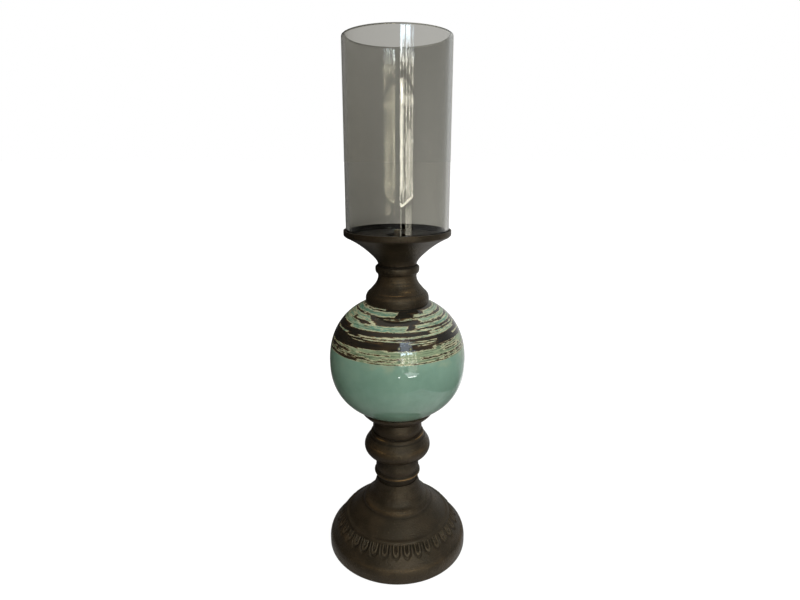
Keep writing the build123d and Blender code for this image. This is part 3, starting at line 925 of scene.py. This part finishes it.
def ceramic_ball():
    low, high = foot_of("ceramic_ball"), top_of("ceramic_ball")
    outline = [(BALL_HOLE, low)] + ball_half(0, -1)[:0:-1] + ball_half(0, 1) + [(BALL_HOLE, high)]
    outline += [(BALL_HOLE, high - BALL_WALL)] + ball_half(BALL_WALL, 1)[:0:-1][::BALL_INNER_ROWS]
    outline += ball_half(BALL_WALL, -1)[::BALL_INNER_ROWS] + [(BALL_HOLE, low + BALL_WALL)]
    piece = turned("ball", outline, columns=FINE_COLUMNS, soften=0)
    fitted(piece, "stand", banded_glaze(), "ceramic_ball")


def ball_dish():
    foot = BULB_TOP
    seat = foot_of("lower_seal")
    cup = [(radius, ball_height(radius, -1) - BALL_GAP) for radius in (37.9, 34.0, 29.0, 24.0)]
    outline = [
        (17.0, foot), (21.5, foot), (21.5, 133.1), (25.6, 133.1),
        *curved((25.3, 134.6), (26.0, 137.2), (26.0, 140.2), (25.3, 143.4), (24.4, 146.0)),
        (24.1, 147.3),
        *curved((27.9, 148.9), (32.1, 151.5), (35.4, 154.5), (38.0, 157.5)),
        (38.7, 159.4), (38.5, 160.1)]
    outline += cup + [(22.0, seat), (ROD_HOLE, seat), (ROD_HOLE, 149.3), (17.0, 149.3)]
    in_bronze(turned("dish", outline), "ball_dish")


def neck_casting():
    seat = top_of("upper_seal")
    top = top_of("neck_casting")
    cup = [(radius, ball_height(radius, 1) + BALL_GAP) for radius in (23.0, 26.0, 30.4)]
    outline = [(ROD_HOLE, seat), (21.5, seat)] + cup + [
        (31.2, 274.6),
        *curved((31.6, 276.4), (31.75, 278.6), (31.6, 281.4), (30.9, 283.7), (29.7, 285.7),
                (28.5, 286.9), (27.5, 287.8), (25.1, 290.6), (22.3, 294.0), (20.3, 297.6),
                (19.3, 300.9), (19.3, 303.6)),
        (19.9, 305.2),
        *curved((21.2, 306.4), (21.8, 308.4), (21.9, 310.6), (21.6, 312.0)),
        (20.3, 313.0), (19.9, top), (13.5, top), (13.5, 285.7), (ROD_HOLE, 285.7)]
    in_bronze(turned("neck", outline), "neck_casting")


GLASS_RADIUS = radius_of("glass_cylinder")
GLASS_WALL = 3.5
GLASS_FOOT = foot_of("glass_cylinder")
GLASS_TOP = top_of("glass_cylinder")
GLASS_CHANNEL = 0.5             # depth of the channel in the cup that it stands in
CANDLE_SEAT = GLASS_FOOT + GLASS_CHANNEL


def candle_cup():
    foot = foot_of("candle_cup")
    rim = top_of("candle_cup")
    outline = [
        (15.7, foot), (18.9, foot),
        *curved((20.0, 317.0), (22.0, 320.0), (24.6, 322.9), (27.6, 325.8), (31.0, 328.8),
                (34.7, 331.8), (38.6, 334.7), (43.2, 337.6), (48.2, 340.4)),
        (50.8, 341.7), (52.2, 343.1), (52.4, 343.8), (52.4, rim), (50.6, rim), (50.6, GLASS_FOOT),
        (45.9, GLASS_FOOT), (45.9, CANDLE_SEAT), (11.0, CANDLE_SEAT), (11.0, 333.7),
        (ROD_HOLE, 333.7), (ROD_HOLE, 330.5), (14.2, 330.5), (14.2, 338.5), (43.0, 338.5),
        *curved((32.9, 333.0), (25.0, 327.3), (19.3, 321.0))]
    in_bronze(turned("cup", outline, soften=0.35), "candle_cup")


def glass_cylinder():
    inner = GLASS_RADIUS - GLASS_WALL
    lip = [(0, 2.2), (0, 1.5), (0.25, 0.65), (0.85, 0.12)]  # how far in from a side, and down
    outline = [(inner, GLASS_FOOT), (GLASS_RADIUS, GLASS_FOOT), (GLASS_RADIUS, GLASS_FOOT + 1.5)]
    outline += [(GLASS_RADIUS - aside, GLASS_TOP - down) for aside, down in lip]
    outline += [(GLASS_RADIUS - GLASS_WALL / 2, GLASS_TOP)]
    outline += [(inner + aside, GLASS_TOP - down) for aside, down in reversed(lip)]
    outline += [(inner, GLASS_FOOT + 1.5)]
    piece = turned("glass", outline, columns=FINE_COLUMNS, soften=0.5)
    fitted(piece, "glass", smoke_glass(inner, GLASS_RADIUS), "glass_cylinder")


base_casting()
base_felt()
stem_collar()
stem_bulb()
ball_dish()
ceramic_ball()
neck_casting()
candle_cup()
glass_cylinder()
for finish, kept_nodes in (
        (plated_steel(), ("tie_rod", "base_washer", "base_spring_washer", "base_nut",
                          "cup_washer", "cup_nut")),
        (seal_rubber(), ("lower_seal", "upper_seal"))):
    for kept_node in kept_nodes:
        dress(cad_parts[kept_node], finish)


# ---------------- studio

WHITE = (1, 1, 1, 1)
FLOOR_SIZE = 400.0
FLOOR_DROP = 0.0001             # below the felt
FLOOR_GREY = (0.24, 0.24, 0.24, 1)
FLOOR_LIT = 0.165               # about how bright the light alone makes the floor
FLOOR_GLOW = (0.88, 1.00)       # what the camera sees on top of that, near and far
FLOOR_REACH = (0.2, 1.3)        # how far away near ends and far starts
TABLE = (0.30, -0.36, 0.52)     # half width, front and back of the part that polish shows pale
TABLE_GLOSS = (0.12, 1.15)      # how bright polish shows it, from left to right
SHADOW = (0.02, 0.26, 0.06)     # front, back and soft edge of the dark that polish shows there
SHADOW_DEPTH = 0.7

# Bright spots on the floor that only polish shows, as left, right, front, back and strength.
GLINTS = (
    (0.25, 0.47, -0.85, -0.79, 22.0),
    (0.02, 0.07, -0.93, -0.84, 20.0),
    (0.25, 0.62, -1.56, -0.88, 4.5),
)

ROOM_WARM = (1.0, 0.90, 0.72, 1)    # the room's light from the left
ROOM_COOL = (0.93, 0.99, 1.0, 1)    # and from the right
ROOM_FILL = (0.01, 0.38)        # plain light from the left and from the right
ROOM_GLOSS = (0.02, 0.22)       # the room in polish, on the left and on the right
ROOM_BEHIND = 0.5               # more of it to the right, behind the object
BACKDROP_SIDE = 0.11            # X of the directions where it is darkest and lightest
BACKDROP_SLANT = 0.25           # how much lighter it gets with X besides
OVERHEAD = 1.5                  # extra light from straight above
OVERHEAD_GLOSS = 0.45           # the share of it that polish shows


def room_group():
    """What stands round the table, by direction: darker to the left, light to the right."""
    tree, given, wanted = group("room", ("X", "Y"), ("Side", "Level"))
    side = ramp(tree, given["X"], -0.7, 0.9)
    behind = times(tree, ramp(tree, given["Y"], 0.1, 0.9), ramp(tree, given["X"], -0.15, 0.45))
    feed(tree, wanted["Side"], side)
    feed(tree, wanted["Level"],
         plus(tree, graded(tree, side, *ROOM_GLOSS), times(tree, behind, ROOM_BEHIND)))
    return tree


ROOM = room_group()


def between(tree, value, low, high, soft=0.006):
    """1 between two values and 0 outside them."""
    return times(tree, ramp(tree, value, low - soft, low + soft),
                 ramp(tree, value, high + soft, high - soft))


def behind_glass(tree, x, slope):
    """How bright the backdrop looks through the glass: darker to the left, more so lower down."""
    across = graded(tree, ramp(tree, x, -BACKDROP_SIDE, BACKDROP_SIDE), -1.0, 1.0)
    bright = plus(tree, 1.0, times(tree, across, slope))
    return plus(tree, bright, times(tree, x, BACKDROP_SLANT))


def either(tree, share, first, second):
    """Makes a material show one shader where the share is 0 and another where it is 1."""
    made = add(tree, "ShaderNodeMixShader")
    for socket, value in zip(made.inputs, (share, first.outputs[0], second.outputs[0])):
        feed(tree, socket, value)
    put(tree, tree.nodes["Material Output"], Surface=made.outputs[0])


def floor():
    bpy.ops.object.select_all(action="DESELECT")
    bpy.ops.mesh.primitive_plane_add(size=FLOOR_SIZE, location=(0, 0, -FLOOR_DROP))
    thing = bpy.context.object
    thing.name = "floor"
    made, tree, shader = finish_of("floor paint", Base_Color=FLOOR_GREY, Roughness=1.0,
                                   Specular_IOR_Level=0.0, Emission_Color=WHITE)
    seen = add(tree, "ShaderNodeLightPath").outputs
    spot = place(tree)
    here = apart(tree, spot)
    towards = add(tree, "ShaderNodeVectorMath", operation="NORMALIZE")
    way = apart(tree, put(tree, towards, Vector=spot)["Vector"])
    away = length_of(tree, spot)

    glow = graded(tree, ramp(tree, away, *FLOOR_REACH), *FLOOR_GLOW)
    glow = times(tree, seen["Is Camera Ray"], glow)
    slope = plus(tree, 0.20, calc(tree, "DIVIDE", 0.5, plus(tree, away, 0.5)))
    through = minus(tree, behind_glass(tree, way["X"], slope), FLOOR_LIT)
    through = times(tree, seen["Is Transmission Ray"], through)
    put(tree, shader, Emission_Strength=most(tree, glow, through))

    half, front, back = TABLE
    table = times(tree, between(tree, here["X"], -half, half),
                  between(tree, here["Y"], front, back))
    pale = graded(tree, ramp(tree, here["X"], -half, half), *TABLE_GLOSS)
    room = use(tree, ROOM, X=way["X"], Y=way["Y"])["Level"]
    shine = most(tree, room, times(tree, table, pale))
    shadow = between(tree, here["Y"], *SHADOW)
    shine = times(tree, shine, graded(tree, shadow, 1.0, 1.0 - SHADOW_DEPTH))
    for left, right, near, far, strength in GLINTS:
        glint = times(tree, between(tree, here["X"], left, right),
                      between(tree, here["Y"], near, far))
        shine = most(tree, shine, times(tree, glint, strength))
    polish = add(tree, "ShaderNodeEmission")
    put(tree, polish, Strength=shine)
    glossy = minus(tree, seen["Is Glossy Ray"], seen["Is Transmission Ray"], clamp=True)
    either(tree, glossy, shader, polish)
    thing.data.materials.append(made)


def sky():
    """White behind the object, and a plain room for the light and the polished surfaces."""
    world = bpy.data.worlds.new("studio")
    bpy.context.scene.world = world
    world.use_nodes = True
    tree = world.node_tree
    shade = tree.nodes["Background"]
    seen = add(tree, "ShaderNodeLightPath").outputs
    way = apart(tree, add(tree, "ShaderNodeTexCoord").outputs["Generated"])
    room = use(tree, ROOM, X=way["X"], Y=way["Y"])
    above = times(tree, ramp(tree, way["Z"], 0.5, 1.0), OVERHEAD)
    diffuse = seen["Is Diffuse Ray"]
    lit = plus(tree, times(tree, diffuse, graded(tree, room["Side"], *ROOM_FILL)),
               times(tree, minus(tree, 1.0, diffuse), room["Level"]))
    lit = plus(tree, lit, times(tree, above, graded(tree, diffuse, OVERHEAD_GLOSS, 1)))
    slope = most(tree, minus(tree, 0.18, times(tree, way["Z"], 0.9)), 0.02)
    through = times(tree, seen["Is Transmission Ray"], behind_glass(tree, way["X"], slope))
    straight = most(tree, seen["Is Camera Ray"], through)
    tint = blend(tree, room["Side"], ROOM_WARM, ROOM_COOL)
    put(tree, shade, Color=blend(tree, straight, tint, WHITE), Strength=most(tree, straight, lit))


# A tall window in front and to the right, and the light of its parts, as strength and then left,
# right, foot and top in metres from its left edge and from its foot.
WINDOW_DISTANCE = 1.6
WINDOW_TURN = 19.4              # degrees from the front towards +X, at its middle
WINDOW_WIDTH = 0.80
WINDOW_HEIGHT = 1.95
WINDOW_LIFT = 0.004             # its foot above the floor
WINDOW_PARTS = (
    (30.0, 0.05, 0.15, 0.610, 0.685),
    (30.0, 0.05, 0.12, 0.780, 0.900),
    (22.0, 0.03, 0.27, 0.83, 0.93),
    (20.0, 0.33, 0.57, 0.82, 0.93),
    (4.5, 0.38, 0.68, 0.27, 0.52),
    (12.0, 0.04, 0.16, 0.300, 0.610),
    (9.0, 0.03, 0.25, 1.62, 1.84),
    (9.0, 0.33, 0.60, 1.60, 1.84),
    (8.0, 0.00, 0.10, 1.40, 1.52),
    (8.0, 0.20, 0.30, 1.40, 1.52),
    (4.2, 0.00, 0.64, 0.98, 1.90),
    (2.5, 0.03, 0.10, 0.00, 0.235),
    (3.0, 0.34, 0.46, 0.00, 0.235),
    (2.4, 0.46, 0.72, 0.00, 0.235),
)
WINDOW_PART_EDGE = 0.03         # half the width of a part's soft edge
PANE_LIGHT = 10.0               # strength of the rows of panes over the sill
PANE_SIZE = (0.175, 0.15)
PANES_TOP = (1.08, 1.02)        # they fade out between these heights
SILL_HEIGHT = 0.235
SILL_MIDDLE = 0.1               # where it is lowest, from the left edge
SILL_RISE = 0.055               # metres per metre to either side
SILL_BOARD = 0.012
SILL_EDGE = 0.003
WINDOW_BAR = (0.70, 0.73)       # foot and top of a dark bar across it, bent down to the right
WINDOW_BAR_BEND = 0.1           # times the square of the distance from the left edge
WINDOW_BAR_LIGHT = 0.1          # the share of the light that the bar leaves
WINDOW_WARM = (1.0, 0.96, 0.80, 1)
WINDOW_COOL = (0.68, 0.84, 1.0, 1)
WINDOW_COOL_FROM = (0.72, 0.86)     # the light turns from warm to cool between these heights
WINDOW_BEHIND = 4.5             # times brighter where the far wall of the glass shows it


def window():
    turn = math.radians(WINDOW_TURN)
    bpy.ops.object.select_all(action="DESELECT")
    bpy.ops.mesh.primitive_plane_add(size=1.0)
    thing = bpy.context.object
    thing.name = "window"
    thing.scale = (WINDOW_WIDTH, WINDOW_HEIGHT, 1)
    bpy.ops.object.transform_apply(location=False, rotation=False, scale=True)
    thing.rotation_euler = (math.pi / 2, 0, turn)
    thing.location = (math.sin(turn) * WINDOW_DISTANCE, -math.cos(turn) * WINDOW_DISTANCE,
                      WINDOW_HEIGHT / 2 + WINDOW_LIFT)
    made, tree, shader = finish_of("window light", Base_Color=(0, 0, 0, 1), Roughness=1.0,
                                   Specular_IOR_Level=0)
    spot = apart(tree, place(tree))
    across = plus(tree, spot["X"], WINDOW_WIDTH / 2)
    up = plus(tree, spot["Y"], WINDOW_HEIGHT / 2)

    pane_x = calc(tree, "WRAP", across, PANE_SIZE[0], 0.0)
    pane_y = calc(tree, "WRAP", up, PANE_SIZE[1], 0.0)
    lattice = most(tree, ramp(tree, pane_x, 0.05, 0.03),
                   times(tree, ramp(tree, pane_y, 0.045, 0.03), 0.4))
    blotch = ramp(tree, noise(tree, place(tree, (9, 30, 0)), 1.0, 3, 0.6), 0.42, 0.58)
    panes = times(tree, graded(tree, lattice, 0.15, 1.0), graded(tree, blotch, 0.35, 1.25))
    aside = unsigned(tree, minus(tree, across, SILL_MIDDLE))
    sill = plus(tree, SILL_HEIGHT, times(tree, aside, SILL_RISE))
    over_sill = minus(tree, up, sill)
    panes = most(tree, panes, between(tree, over_sill, 0.0, SILL_BOARD, SILL_EDGE))
    power = times(tree, times(tree, panes, PANE_LIGHT),
                  times(tree, ramp(tree, over_sill, -SILL_EDGE, SILL_EDGE),
                        ramp(tree, up, *PANES_TOP)))
    for strength, left, right, foot, top in WINDOW_PARTS:
        part = times(tree, between(tree, across, left, right, WINDOW_PART_EDGE),
                     between(tree, up, foot, top, WINDOW_PART_EDGE))
        power = most(tree, power, times(tree, part, strength))
    bow = times(tree, times(tree, across, across), WINDOW_BAR_BEND)
    bar = between(tree, plus(tree, up, bow), *WINDOW_BAR)
    power = times(tree, power, graded(tree, bar, 1.0, WINDOW_BAR_LIGHT))

    seen = add(tree, "ShaderNodeLightPath").outputs
    through = seen["Is Transmission Ray"]
    put(tree, shader,
        Emission_Color=blend(tree, ramp(tree, up, *WINDOW_COOL_FROM), WINDOW_WARM, WINDOW_COOL),
        Emission_Strength=times(tree, power, graded(tree, through, 1.0, WINDOW_BEHIND)))
    plain_view = minus(tree, through, seen["Glossy Depth"], clamp=True)
    either(tree, plain_view, shader, add(tree, "ShaderNodeBsdfTransparent"))
    thing.data.materials.append(made)
    thing.visible_camera = False


VIEW_WIDTH = 800                # pixels, as are the next two
FOCAL_LENGTH = 524.2
VIEW_SHIFT = 2.7
SENSOR_WIDTH = 36.0
CAMERA_PLACE = (0, -0.5112, 0.4124)
CAMERA_DIP = 14.85              # degrees below the level


def camera():
    data = bpy.data.cameras.new("camera")
    data.sensor_width = SENSOR_WIDTH
    data.lens = FOCAL_LENGTH / VIEW_WIDTH * SENSOR_WIDTH
    data.shift_x = VIEW_SHIFT / VIEW_WIDTH
    data.clip_start = 0.01
    thing = bpy.data.objects.new("camera", data)
    bpy.context.scene.collection.objects.link(thing)
    thing.location = CAMERA_PLACE
    thing.rotation_euler = (math.radians(90 - CAMERA_DIP), 0, 0)
    bpy.context.scene.camera = thing


floor()
sky()
window()
camera()

bpy.context.scene.view_settings.view_transform = "Standard"
